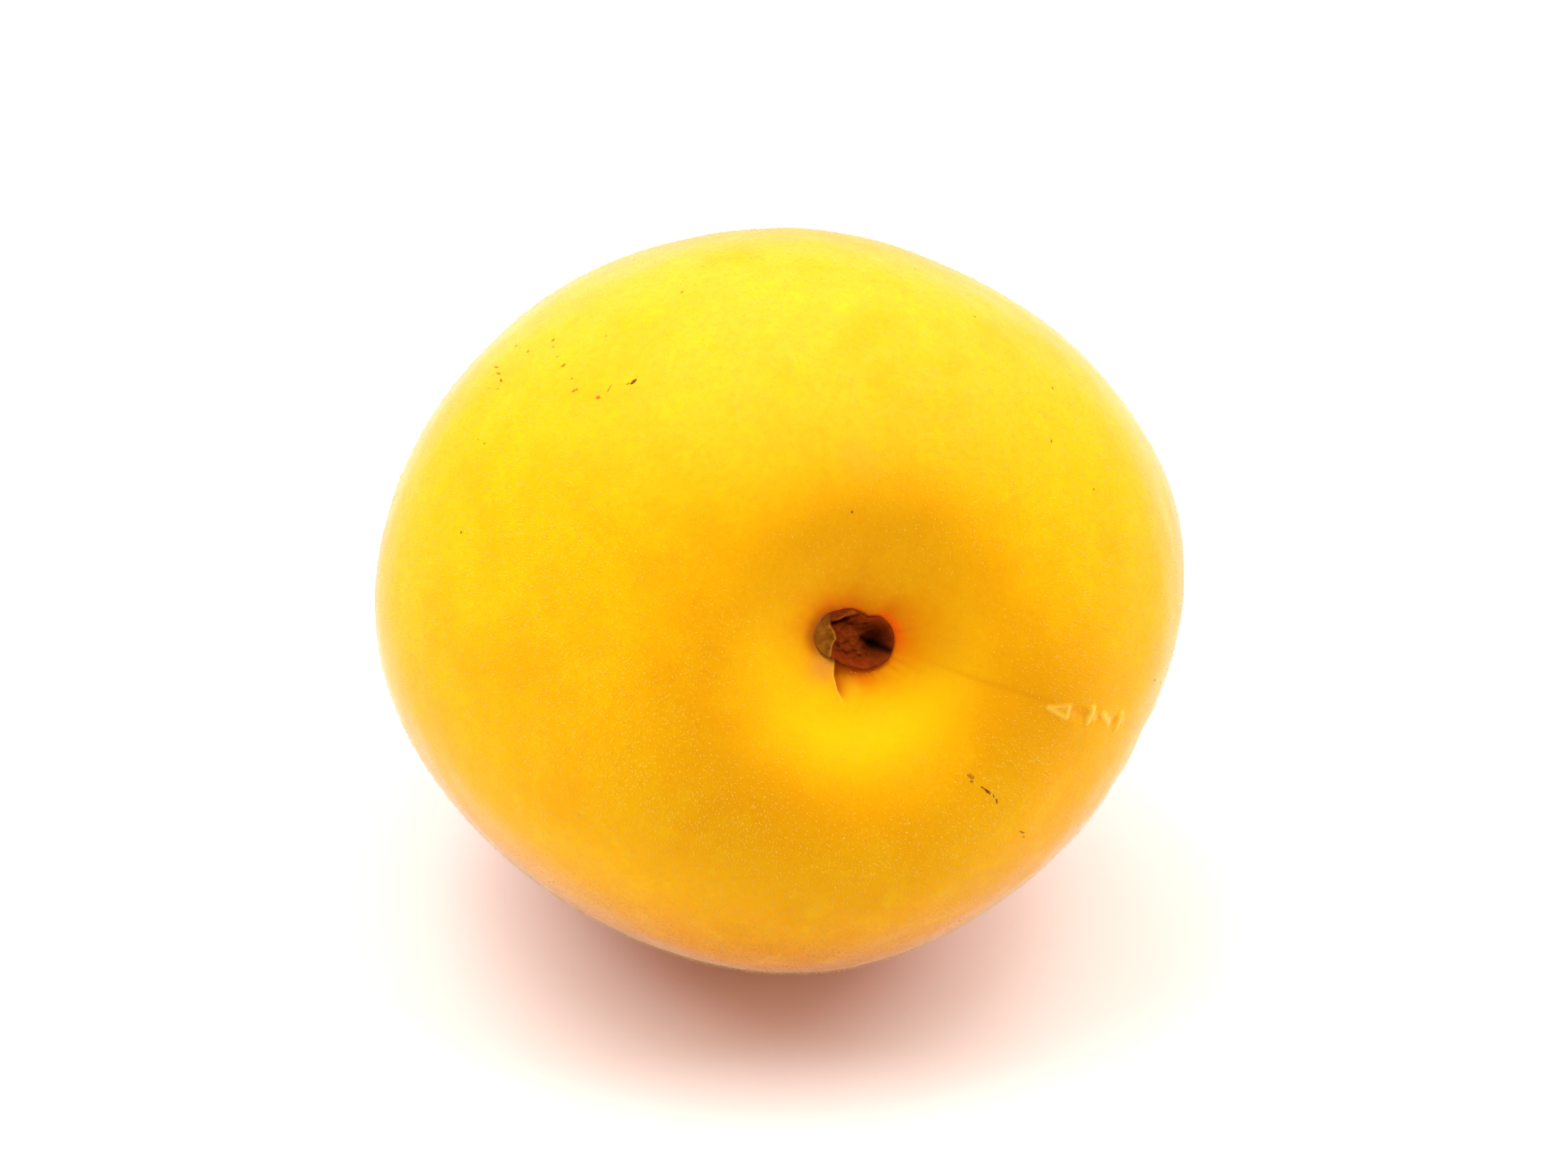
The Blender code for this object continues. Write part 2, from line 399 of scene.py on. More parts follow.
def new_mesh(name, points, loops, sizes, masks=None):
    """A mesh from flat lists of points, corners and face sizes, with named values on its points."""
    starts = np.concatenate([[0], np.cumsum(sizes)[:-1]])
    mesh = bpy.data.meshes.new(name)
    mesh.vertices.add(len(points))
    mesh.vertices.foreach_set("co", points.astype(np.float32).ravel())
    mesh.loops.add(len(loops))
    mesh.loops.foreach_set("vertex_index", loops.astype(np.int32))
    mesh.polygons.add(len(sizes))
    mesh.polygons.foreach_set("loop_start", starts.astype(np.int32))
    mesh.update(calc_edges=True)
    mesh.validate()
    mesh.shade_smooth()
    for key, values in (masks or {}).items():
        attribute = mesh.attributes.new(key, "FLOAT", "POINT")
        attribute.data.foreach_set("value", values.astype(np.float32).ravel())
    return mesh


def grid_mesh(name, grid, first, last, masks, ends):
    """A closed mesh from rings of points: first and last close the two ends."""
    rows, cols = grid.shape[:2]
    points = np.concatenate([grid.reshape(-1, 3), [first], [last]])
    i, j = np.meshgrid(np.arange(rows - 1), np.arange(cols), indexing="ij")
    a = i * cols + j
    b = i * cols + (j + 1) % cols
    quads = np.stack([a, a + cols, b + cols, b], -1).reshape(-1, 4)
    jj = np.arange(cols)
    top = np.stack([np.full(cols, rows * cols), jj, (jj + 1) % cols], -1)
    low = (rows - 1) * cols
    bottom = np.stack(
        [np.full(cols, rows * cols + 1), low + (jj + 1) % cols, low + jj], -1
    )
    loops = np.concatenate([quads.ravel(), top.ravel(), bottom.ravel()])
    sizes = np.concatenate([np.full(len(quads), 4), np.full(2 * cols, 3)])
    masks = {
        key: np.concatenate([values.ravel(), ends.get(key, (0.0, 0.0))])
        for key, values in masks.items()
    }
    return new_mesh(name, points, loops, sizes, masks)


def add_piece(name, mesh, material, replaces=()):
    obj = bpy.data.objects.new(name, mesh)
    bpy.context.scene.collection.objects.link(obj)
    mesh.materials.append(material)
    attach(obj, "root")
    if replaces:
        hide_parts(*replaces)
    return obj


# ---- materials ----------------------------------------------------------------------------------
class Nodes:
    """A short way to write a node tree."""

    def __init__(self, name):
        self.material = bpy.data.materials.new(name)
        self.material.use_nodes = True
        self.tree = self.material.node_tree
        self.tree.nodes.clear()
        self.out = self.tree.nodes.new("ShaderNodeOutputMaterial")
        self.shader = self.tree.nodes.new("ShaderNodeBsdfPrincipled")
        self.tree.links.new(self.shader.outputs[0], self.out.inputs["Surface"])

    def new(self, kind, **settings):
        node = self.tree.nodes.new(kind)
        for key, value in settings.items():
            setattr(node, key, value)
        return node

    def put(self, value, socket):
        if isinstance(value, bpy.types.NodeSocket):
            self.tree.links.new(value, socket)
        elif isinstance(value, (tuple, list)) and len(value) == 3 and len(socket.default_value) == 4:
            socket.default_value = (*value, 1.0)
        else:
            socket.default_value = value

    def math(self, operation, a, b=0.0, clamp=False):
        node = self.new("ShaderNodeMath", operation=operation, use_clamp=clamp)
        self.put(a, node.inputs[0])
        self.put(b, node.inputs[1])
        return node.outputs[0]

    def mix(self, share, a, b, blend="MIX"):
        node = self.new("ShaderNodeMix", data_type="RGBA", blend_type=blend)
        self.put(share, node.inputs[0])
        self.put(a, node.inputs[6])
        self.put(b, node.inputs[7])
        return node.outputs[2]

    def range(self, value, a, b, c=0.0, d=1.0, smooth=True):
        node = self.new(
            "ShaderNodeMapRange",
            interpolation_type="SMOOTHSTEP" if smooth else "LINEAR",
        )
        self.put(value, node.inputs[0])
        for k, number in enumerate((a, b, c, d)):
            node.inputs[k + 1].default_value = number
        return node.outputs[0]

    def noise(self, scale, detail=2.0, rough=0.5, seed=0.0, where=None, distortion=0.0):
        node = self.new("ShaderNodeTexNoise", noise_dimensions="4D")
        self.put(where or self.place(), node.inputs["Vector"])
        node.inputs["W"].default_value = seed
        node.inputs["Scale"].default_value = scale
        node.inputs["Detail"].default_value = detail
        node.inputs["Roughness"].default_value = rough
        node.inputs["Distortion"].default_value = distortion
        return node.outputs["Fac"]

    def place(self):
        if not hasattr(self, "_place"):
            self._place = self.new("ShaderNodeTexCoord").outputs["Object"]
        return self._place

    def along(self, direction, low, high):
        """0 to 1 as the place goes from low to high metres along a direction."""
        dot = self.new("ShaderNodeVectorMath", operation="DOT_PRODUCT")
        self.put(self.place(), dot.inputs[0])
        dot.inputs[1].default_value = direction
        return self.range(dot.outputs["Value"], low, high)

    def mask(self, name):
        return self.new("ShaderNodeAttribute", attribute_name=name).outputs["Fac"]

    def times(self, *values):
        out = values[0]
        for value in values[1:]:
            out = self.math("MULTIPLY", out, value)
        return out


def skin_material():
    n = Nodes("apricot_skin")
    height = n.along((0.0, -0.12, 0.99), 0.000, 0.040)
    # painted shade: this mask darkens the skin towards the floor
    low = n.along((0.0, 0.0, 1.0), 0.020, 0.001)
    broad = n.noise(70.0, 2.0, 0.45, 1.0)
    blotch = n.noise(230.0, 3.0, 0.55, 4.0)
    cloud = n.noise(520.0, 3.0, 0.6, 6.0)
    grain = n.noise(2400.0, 2.0, 0.6, 7.0)

    # yellow above, more orange and darker below, uneven: partly the skin's own tone, partly painted light,
    # lighter on the top where the light falls and shaded below
    tone = n.math("ADD", height, n.math("MULTIPLY", n.math("SUBTRACT", broad, 0.5), 0.9))
    colour = n.mix(n.range(tone, -0.1, 1.05), (0.75, 0.295, 0.0010), (0.975, 0.485, 0.0012))
    # painted highlight: paler on the top, where the light falls strongest
    colour = n.mix(n.along((0.0, 0.10, 0.99), 0.035, 0.050), colour, (0.98, 0.475, 0.035))
    # an orange cheek on the side away from the stem
    cheek = n.along((0.45, 0.85, 0.15), 0.004, 0.034)
    cheek = n.times(cheek, n.range(n.noise(95.0, 3.0, 0.55, 9.0), 0.36, 0.66, 0.35, 1.0))
    colour = n.mix(n.times(cheek, 0.80), colour, (0.92, 0.215, 0.003))
    colour = n.mix(n.range(blotch, 0.42, 0.72, 0.0, 0.60), colour, (0.90, 0.385, 0.0020))
    colour = n.mix(n.range(cloud, 0.45, 0.75, 0.0, 0.42), colour, (0.98, 0.575, 0.003))
    tan = n.times(n.range(blotch, 0.44, 0.26), n.range(n.noise(60.0, 1.0, 0.5, 15.0), 0.48, 0.66))
    colour = n.mix(n.times(tan, 0.55), colour, (0.82, 0.42, 0.022))
    colour = n.mix(n.range(grain, 0.35, 0.75, 0.0, 0.42), colour, (0.91, 0.37, 0.001))
    # painted shade: the underside darker and deeper orange, as shade near the floor
    colour = n.mix(n.times(low, 0.92), colour, (0.50, 0.086, 0.0020))

    # deeper orange round the scar, brown inside it; painted shade on the hollow's upper wall and below it, a
    # painted highlight on its lower wall, painted glow and shade at the scar's rim
    # painted shade on the hollow's upper wall
    colour = n.mix(n.times(n.mask("near"), 0.60), colour, (0.84, 0.355, 0.0010))
    colour = n.mix(n.times(n.mask("flank"), 0.80), colour, (0.78, 0.320, 0.0010))
    # painted shade below the hollow's lower rim
    colour = n.mix(n.times(n.mask("brow_shade"), 0.62), colour, (0.80, 0.320, 0.0010))
    # painted highlight on the hollow's lower wall
    colour = n.mix(n.times(n.mask("bowl"), 0.66), colour, (0.99, 0.610, 0.0030))
    colour = n.mix(n.mask("halo"), colour, (0.80, 0.122, 0.0006))
    # painted shade at the left of the scar's rim
    colour = n.mix(n.times(n.mask("rim_shade"), 0.90), colour, (0.46, 0.125, 0.0020))
    colour = n.mix(n.times(n.mask("pink"), 0.85), colour, (0.82, 0.30, 0.030))
    # painted light: the glow of the thin skin at the rim's upper right
    colour = n.mix(n.times(n.mask("rim_glow_light"), 0.85), colour, (1.0, 0.120, 0.0008))
    colour = n.mix(n.mask("pit"), colour, (0.24, 0.031, 0.0018))
    # deeper orange in the apex's dimple, and the brown point left by the flower
    colour = n.mix(n.times(n.mask("dimple"), 0.55), colour, (0.86, 0.215, 0.003))
    colour = n.mix(n.times(n.mask("tip"), 0.90), colour, (0.16, 0.040, 0.005))
    # the suture's fine line, darker, partly its own colour and partly painted shade in the furrow; painted
    # shade in the sinks between the folds; the folds paler, partly their own pale skin and partly painted
    # highlight on the ridges; painted shadow in the fold below the scar and a painted highlight on its lip
    colour = n.mix(n.times(n.mask("suture"), 0.32), colour, (0.84, 0.27, 0.003))
    colour = n.mix(n.times(n.mask("sink_shade"), 0.55), colour, (0.93, 0.36, 0.002))
    colour = n.mix(n.times(n.mask("fold"), 0.65), colour, (0.98, 0.66, 0.10))
    colour = n.mix(n.times(n.mask("crease_shadow"), 0.85), colour, (0.66, 0.165, 0.001))
    colour = n.mix(n.times(n.mask("lip_highlight"), 0.30), colour, (0.96, 0.52, 0.05))
    n.put(colour, n.shader.inputs["Base Color"])

    rough = n.range(n.noise(900.0, 2.0, 0.5, 11.0), 0.3, 0.7, 0.50, 0.66)
    n.put(rough, n.shader.inputs["Roughness"])
    n.shader.inputs["IOR"].default_value = 1.40
    n.shader.inputs["Specular IOR Level"].default_value = 0.03
    n.shader.inputs["Subsurface Weight"].default_value = 0.30
    n.shader.inputs["Subsurface Radius"].default_value = (1.0, 0.42, 0.10)
    n.shader.inputs["Subsurface Scale"].default_value = 0.0022
    n.shader.inputs["Sheen Weight"].default_value = 1.00
    n.shader.inputs["Sheen Roughness"].default_value = 0.26
    n.shader.inputs["Sheen Tint"].default_value = (1.0, 0.94, 0.90, 1.0)

    pores = n.noise(2600.0, 2.0, 0.6, 21.0)
    leather = n.noise(700.0, 3.0, 0.55, 25.0)
    bump = n.new("ShaderNodeBump")
    bump.inputs["Strength"].default_value = 0.30
    bump.inputs["Distance"].default_value = 0.00006
    n.put(n.math("ADD", pores, leather), bump.inputs["Height"])
    n.put(bump.outputs[0], n.shader.inputs["Normal"])
    return n.material


def stalk_material():
    n = Nodes("dry_stalk")
    fibre = n.noise(1900.0, 4.0, 0.6, 3.0, distortion=0.5)
    patch = n.noise(800.0, 3.0, 0.5, 5.0)
    colour = n.mix(n.range(fibre, 0.3, 0.7), (0.165, 0.0175, 0.0010), (0.280, 0.036, 0.0020))
    colour = n.mix(n.range(patch, 0.42, 0.7, 0.0, 0.6), colour, (0.32, 0.055, 0.003))
    flake = n.mix(n.range(fibre, 0.3, 0.75), (0.20, 0.058, 0.0030), (0.38, 0.120, 0.0070))
    colour = n.mix(n.mask("flake"), colour, flake)
    colour = n.mix(n.times(n.mask("shelf"), 0.8), colour, (0.42, 0.090, 0.0045))
    colour = n.mix(n.times(n.mask("edge"), 0.85), colour, (0.50, 0.165, 0.0160))
    # painted shade in the stub's hollow and groove, and painted shadow in the slit
    colour = n.mix(n.mask("dark"), colour, (0.060, 0.0065, 0.0012))
    colour = n.mix(n.mask("slit"), colour, (0.018, 0.0030, 0.0012))
    n.put(colour, n.shader.inputs["Base Color"])
    n.put(n.range(patch, 0.3, 0.7, 0.68, 0.88), n.shader.inputs["Roughness"])
    n.shader.inputs["Specular IOR Level"].default_value = 0.04
    bump = n.new("ShaderNodeBump")
    bump.inputs["Strength"].default_value = 0.5
    bump.inputs["Distance"].default_value = 0.00005
    n.put(fibre, bump.inputs["Height"])
    n.put(bump.outputs[0], n.shader.inputs["Normal"])
    return n.material


def fuzz_material():
    n = Nodes("apricot_down")
    n.shader.inputs["Base Color"].default_value = (0.98, 0.76, 0.27, 1.0)
    n.shader.inputs["Roughness"].default_value = 0.7
    n.shader.inputs["Specular IOR Level"].default_value = 0.1
    return n.material


def speck_material():
    n = Nodes("skin_specks")
    stain = n.noise(6000.0, 2.0, 0.6, 2.0)
    dark = n.mix(n.range(stain, 0.3, 0.7), (0.12, 0.026, 0.0025), (0.27, 0.072, 0.005))
    faint = n.mix(n.range(stain, 0.3, 0.7), (0.52, 0.175, 0.005), (0.70, 0.27, 0.008))
    # painted highlight: the beads' glint as a bright orange
    glint_bead = (0.98, 0.42, 0.05)
    tone = n.mask("tone")
    colour = n.mix(n.range(tone, 0.0, 1.0, smooth=False), dark, faint)
    colour = n.mix(n.range(tone, 1.5, 2.0, smooth=False), colour, glint_bead)
    n.put(colour, n.shader.inputs["Base Color"])
    n.shader.inputs["Roughness"].default_value = 0.6
    n.shader.inputs["Specular IOR Level"].default_value = 0.04
    return n.material


# ---- the skin -----------------------------------------------------------------------------------
skin_points, skin_masks = skin_grid()
local_stem = np.array([0.0, 0.0, skin_points[0, :, 2].mean()])
local_apex = np.array([0.0, 0.0, skin_points[-1, :, 2].mean()])

# the fruit's centre in the frame, from the solid's box
turns = np.linspace(-math.pi, math.pi, 361)
polars = np.linspace(0.01, math.pi - 0.01, 361)
plain = body_point(*np.meshgrid(polars, turns, indexing="ij")).reshape(-1, 3) @ AXES
cad_low, cad_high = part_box("fruit")
CENTRE = np.array(
    [
        (cad_low[0] + cad_high[0]) / 2 - (plain[:, 0].min() + plain[:, 0].max()) / 2,
        (cad_low[1] + cad_high[1]) / 2 - (plain[:, 1].min() + plain[:, 1].max()) / 2,
        cad_high[2] - plain[:, 2].max(),
    ]
)
print("CENTRE", CENTRE)


def to_world(points):
    return points @ AXES + CENTRE


def pressed(p):
    """The lowest cheek lies flat on z = 0."""
    z = p[..., 2]
    p[..., 2] = 0.5 * (z + np.sqrt(z * z + 0.00014**2))
    return p


world = pressed(to_world(skin_points))
ends = pressed(to_world(np.array([local_stem, local_apex])))
normals = grid_normals(world)
skin = add_piece(
    "apricot_skin_surface",
    grid_mesh(
        "apricot_skin_surface", world, ends[0], ends[1], skin_masks, {"pit": (1.0, 0.0)}
    ),
    skin_material(),
    ("fruit",),
)


# ---- the stalk's remnant ------------------------------------------------------------------------
def stub_grid(rows=58, cols=150):
    share = (np.arange(1, rows) / rows) ** 0.85
    angle = 2 * math.pi * np.arange(cols) / cols - math.pi
    share, angle = np.meshgrid(share, angle, indexing="ij")
    radius = rim_radius(angle) * share * 1.09
    x, y = radius * np.cos(angle), radius * np.sin(angle)
    # depth below the rim, mm: a dry flake on the left over a lower, torn middle
    edge = -0.93 - 0.42 * np.abs(y) + 0.05 * np.sin(6 * y)
    flake = step(edge + 0.06, edge - 0.06, x)
    down = (0.72 + 0.06 * x) * (1 - flake) + (0.30 - 0.07 * (x + 1.6) - 0.04 * y) * flake
    bowl = np.exp(-((((x - 1.45) / 0.85) ** 2 + ((y + 0.20) / 0.95) ** 2) ** 1.3))
    down += 0.42 * bowl
    slit_a, _ = path_distance(x, y, [(0.72, -0.02), (1.00, -0.25)])
    slit_b, _ = path_distance(x, y, [(1.22, -0.32), (2.08, -0.62)])
    slit = np.maximum(0.75 * bell(slit_a, 0.20), bell(slit_b, 0.24))
    down += 0.22 * slit
    # a strip along the upper left, over a groove painted dark as shade
    line, along = path_distance(x, y, [(-1.28, 0.80), (-0.55, 1.05), (0.30, 1.46)])
    shelf = bell(line - 0.22, 0.17) * step(0.0, 0.15, along) * step(1.0, 0.8, along)
    shelf = shelf * (1 - flake)
    groove = bell(line + 0.02, 0.10) * step(0.0, 0.1, along) * step(1.05, 0.9, along)
    down += 0.20 * groove - 0.24 * shelf
    p = np.stack([x, y, 0 * x], -1)
    down += 0.045 * Waves(31, 0.7)(p) + 0.026 * Waves(33, 0.3)(p)
    down += (0.11 - down) * step(0.62, 0.92, share) ** 1.3
    v, w = from_scar_plane(x, y)
    s = RIM_HEIGHT - down * MM
    masks = {
        "flake": flake,
        "edge": flake * bell(x - edge + 0.09, 0.07) * step(-1.3, -0.8, y) * step(1.1, 0.6, y),
        "shelf": shelf,
        # painted shade: the hollow of the torn middle, the groove and the slit are painted darker
        "dark": np.clip(0.80 * bowl + 0.75 * groove * (1 - flake), 0, 1),
        "slit": np.clip(slit * 1.15 - 0.1, 0, 1),
    }
    return np.stack([v, w, s], -1), masks


RIM_HEIGHT = float(body_point(np.array([2.2 / 24.3]), np.array([math.pi / 2]))[0, 2])
top, stub_masks = stub_grid()
# the underside: the same outline, sunk into the pit
under = top[::-6].copy()
under[..., 2] = RIM_HEIGHT - (PIT_DEPTH + 0.0001)
stub_world = to_world(np.concatenate([top, under], axis=0))
stub_ends = to_world(
    np.array([[0, 0, 0], [0, 0, 0]], float)
    + [
        [*from_scar_plane(0, 0), float(top[0, :, 2].mean())],
        [*from_scar_plane(0, 0), RIM_HEIGHT - PIT_DEPTH - 0.0001],
    ]
)
stub = add_piece(
    "stalk_remnant",
    grid_mesh(
        "stalk_remnant",
        stub_world,
        stub_ends[0],
        stub_ends[1],
        {k: np.concatenate([m, m[::-6]], axis=0) for k, m in stub_masks.items()},
        {},
    ),
    stalk_material(),
    ("stalk_stub",),
)

# ---- marks on the skin --------------------------------------------------------------------------
ROW_ANGLES, COLUMN_ANGLES = grid_angles()


def on_skin(polar, turn):
    """Points of the finished skin and its normals, at angles from the stem end and the suture."""
    row = np.interp(polar, ROW_ANGLES, np.arange(len(ROW_ANGLES)))
    column = np.interp(turn, COLUMN_ANGLES, np.arange(COLUMNS))
    i = np.clip(row.astype(int), 0, len(ROW_ANGLES) - 2)
    j = column.astype(int)
    a, b = (row - i)[:, None], (column - j)[:, None]
    k = (j + 1) % COLUMNS
    out = []
    for grid in (world, normals):
        low = grid[i, j] * (1 - b) + grid[i, k] * b
        high = grid[i + 1, j] * (1 - b) + grid[i + 1, k] * b
        out.append(low * (1 - a) + high * a)
    out[1] /= np.linalg.norm(out[1], axis=1)[:, None]
    return out


def specks():
    """(polar, turn, half length, half width, lean, tone): degrees and mm, tone 0 dark to 1 faint, 2 a bead
    painted bright as a highlight.
    """
    rows = [
        # a row of small marks on the upper left
        (66.7, 155.8, 0.14, 0.10, 20, 0.75), (65.0, 156.6, 0.10, 0.08, 0, 1.0),
        (61.9, 157.4, 0.10, 0.07, 50, 1.0), (59.1, 157.9, 0.17, 0.10, 70, 0.70),
        (55.5, 158.7, 0.10, 0.06, 50, 1.0), (53.3, 159.9, 0.20, 0.08, 60, 0.85),
        (49.3, 158.4, 0.16, 0.10, 20, 0.95), (47.3, 152.5, 0.22, 0.11, 100, 0.10),
        (47.6, 153.4, 0.10, 0.06, 90, 0.45), (49.1, 156.1, 0.24, 0.05, 110, 1.0),
        (58.1, 150.2, 0.08, 0.06, 0, 0.9), (61.9, 174.1, 0.10, 0.07, 0, 0.9),
        (74.3, 159.7, 0.12, 0.09, 0, 0.9), (69.5, 159.4, 0.12, 0.09, 0, 0.95),
        # a fine curved scratch beside them
        (73.6, 163.9, 0.30, 0.060, 12, 0.75), (71.2, 164.5, 0.30, 0.060, 4, 0.70),
        (69.0, 165.1, 0.26, 0.070, -8, 0.6),
        (70.2, 167.0, 0.10, 0.05, 60, 0.95), (68.0, 166.4, 0.14, 0.04, 30, 0.95),
        # a row of brown marks below the hollow
        (21.9, -28.6, 0.24, 0.13, 10, 0.80), (22.6, -29.3, 0.12, 0.08, 30, 0.60),
        (24.4, -27.9, 0.16, 0.055, 15, 0.50), (25.4, -27.4, 0.34, 0.075, 12, 0.05),
        (26.6, -26.9, 0.14, 0.05, -20, 0.45), (27.6, -27.1, 0.20, 0.065, -22, 0.20),
        (36.2, -26.7, 0.28, 0.055, 20, 0.45), (37.6, -26.9, 0.12, 0.05, 10, 0.85),
        (51.7, -17.0, 0.07, 0.06, 0, 0.20), (48.8, -20.6, 0.06, 0.05, 0, 0.6),
        (49.1, 11.8, 0.10, 0.07, 0, 0.40),
        # small dots over the top
        (47.5, 70.5, 0.10, 0.055, 60, 0.45), (38.4, 66.3, 0.12, 0.06, 20, 0.70),
        (38.6, 52.7, 0.07, 0.06, 0, 0.70), (17.0, 120.6, 0.075, 0.065, 0, 0.15),
        (62.9, 96.7, 0.10, 0.06, 0, 0.85),
    ]
    # beads of dried juice on the lower rim of the pit, their glisten painted on as bright orange: painted
    # highlights
    for x, y, size in (
        (0.02, -1.86, 0.060), (0.24, -1.90, 0.040), (0.44, -1.88, 0.035), (0.86, -1.97, 0.040),
        (1.28, -1.86, 0.040), (-0.80, -2.15, 0.030),
    ):
        v, w = from_scar_plane(x, y)
        r = math.hypot(v, w)
        rows.append(
            (math.degrees(r / 0.0252 * 0.97), math.degrees(math.atan2(w, v)), size, size * 0.8, 30, 2.0)
        )
    rng = np.random.default_rng(12)
    while len(rows) < 130:
        polar, turn = math.degrees(math.acos(rng.uniform(-1, 1))), rng.uniform(-180, 180)
        seen = np.array(
            [math.sin(math.radians(polar)) * math.cos(math.radians(turn)),
             math.sin(math.radians(polar)) * math.sin(math.radians(turn)),
             math.cos(math.radians(polar))]
        ) @ AXES
        # few more on the side that the stem end faces
        if polar < 25 or (seen @ np.array([-0.10, -0.84, 0.53]) > 0.15 and rng.uniform() < 0.94):
            continue
        size = rng.uniform(0.05, 0.11)
        rows.append((polar, turn, size * rng.uniform(1, 1.9), size, rng.uniform(0, 180), rng.choice([0.1, 0.4, 0.7, 0.9])))
    return np.array(rows)


def speck_mesh(rows, sides=12):
    """Thin lens-shaped blobs lying on the skin, with ragged outlines."""
    rng = np.random.default_rng(77)
    at, up = on_skin(np.radians(rows[:, 0]), np.radians(rows[:, 1]))
    down_line, _ = on_skin(np.radians(rows[:, 0] + 0.5), np.radians(rows[:, 1]))
    first = down_line - at
    first -= up * np.sum(first * up, axis=1)[:, None]
    first /= np.linalg.norm(first, axis=1)[:, None]
    second = np.cross(up, first)
    lean = np.radians(rows[:, 4])[:, None]
    long_way = first * np.cos(lean) + second * np.sin(lean)
    short_way = np.cross(up, long_way)
    angle = 2 * math.pi * np.arange(sides) / sides
    count = len(rows)
    ragged = 1 + 0.22 * rng.uniform(-1, 1, size=(count, sides))
    a = (rows[:, 2:3] * MM * np.cos(angle) * ragged)[..., None] * long_way[:, None]
    b = (rows[:, 3:4] * MM * np.sin(angle) * ragged)[..., None] * short_way[:, None]
    glint_bead = rows[:, 5] > 1.5
    proud = np.where(glint_bead, rows[:, 3] * 0.9, 0.016) * MM
    rim = at[:, None] + a + b + up[:, None] * 0.003 * MM
    middle = at[:, None] + 0.55 * (a + b) + up[:, None] * (proud * 0.85)[:, None, None]
    crown = at + up * proud[:, None]
    deep = at - up * 0.04 * MM
    points = np.concatenate([rim, middle, crown[:, None], deep[:, None]], axis=1)
    k = np.arange(sides)
    n = (k + 1) % sides
    faces = np.concatenate(
        [
            np.stack([k, n, n + sides], -1), np.stack([k, n + sides, k + sides], -1),
            np.stack([k + sides, n + sides, np.full(sides, 2 * sides)], -1),
            np.stack([n, k, np.full(sides, 2 * sides + 1)], -1),
        ]
    )
    size = 2 * sides + 2
    loops = (faces[None] + (np.arange(count) * size)[:, None, None]).reshape(-1)
    tone = np.repeat(rows[:, 5], size)
    return new_mesh(
        "skin_specks", points.reshape(-1, 3), loops, np.full(len(loops) // 3, 3), {"tone": tone}
    )


add_piece("skin_specks", speck_mesh(specks()), speck_material())


# ---- the down -----------------------------------------------------------------------------------
def down_mesh(name, seed, count=48000):
    """Short fine hairs, each a thin closed spike whose foot is in the skin."""
    rng = np.random.default_rng(seed)
    k = (np.arange(COLUMNS) + 1) % COLUMNS
    a, b, c = world[:-1], world[1:], world[:-1][:, k]
    area = np.linalg.norm(np.cross(b - a, c - a), axis=-1)
    bare = (skin_masks["pit"][:-1] > 0.02) | (skin_masks["halo"][:-1] > 0.45)
    area = np.where(bare | (a[..., 2] < 0.0006), 0.0, area)
    # thinner in the stem hollow
    area = area * step(0.05, 0.55, ROW_ANGLES[:-1])[:, None]
    total = np.cumsum(area.ravel())
    pick = np.searchsorted(total, rng.uniform(0, total[-1], size=count))
    i, j = np.unravel_index(pick, area.shape)
    u, v = rng.uniform(size=(2, count, 1))

    def blend(grid):
        low = grid[i, j] * (1 - u) + grid[i, k[j]] * u
        high = grid[i + 1, j] * (1 - u) + grid[i + 1, k[j]] * u
        return low * (1 - v) + high * v

    foot, up = blend(world), blend(normals)
    up /= np.linalg.norm(up, axis=1)[:, None]
    # the hairs lean at random, and a little all one way over a few millimetres
    lay = np.stack([Waves(seed0, 0.009)(foot) for seed0 in (41, 42, 43)], -1)
    lean = rng.normal(size=(count, 3)) * 0.14 + lay * 0.08
    way = up + lean - up * np.sum(lean * up, axis=1)[:, None]
    way /= np.linalg.norm(way, axis=1)[:, None]
    long = rng.uniform(0.10, 0.24, size=(count, 1)) * MM
    tip = foot + way * long
    tip[:, 2] = np.maximum(tip[:, 2], 0.00008)
    side = np.cross(up, rng.normal(size=(count, 3)))
    side /= np.linalg.norm(side, axis=1)[:, None]
    other = np.cross(up, side)
    radius = rng.uniform(0.0065, 0.0105, size=(count, 1)) * MM
    foot = foot - up * 0.020 * MM
    ring = [
        foot + radius * (side * math.cos(t) + other * math.sin(t))
        for t in (0, 2 * math.pi / 3, 4 * math.pi / 3)
    ]
    points = np.stack([*ring, tip], axis=1).reshape(-1, 3)
    faces = np.array([(0, 1, 3), (1, 2, 3), (2, 0, 3), (0, 2, 1)])
    loops = (faces[None] + (np.arange(count) * 4)[:, None, None]).reshape(-1)
    return new_mesh(name, points, loops, np.full(count * 4, 3))


down = fuzz_material()
for number in range(3):
    name = f"apricot_down_{number + 1}"
    add_piece(name, down_mesh(name, 100 + number), down)


# ---- floor, light, camera -----------------------------------------------------------------------
bpy.ops.mesh.primitive_plane_add(size=8.0, location=(0, 0, 0))
floor = bpy.context.object
floor.name = "floor"
f = Nodes("floor_white")
paper = f.noise(40.0, 2.0)
f.put(f.mix(f.range(paper, 0.3, 0.7), (0.90, 0.90, 0.90), (0.92, 0.92, 0.92)), f.shader.inputs["Base Color"])
f.shader.inputs["Roughness"].default_value = 0.8
f.shader.inputs["Specular IOR Level"].default_value = 0.1
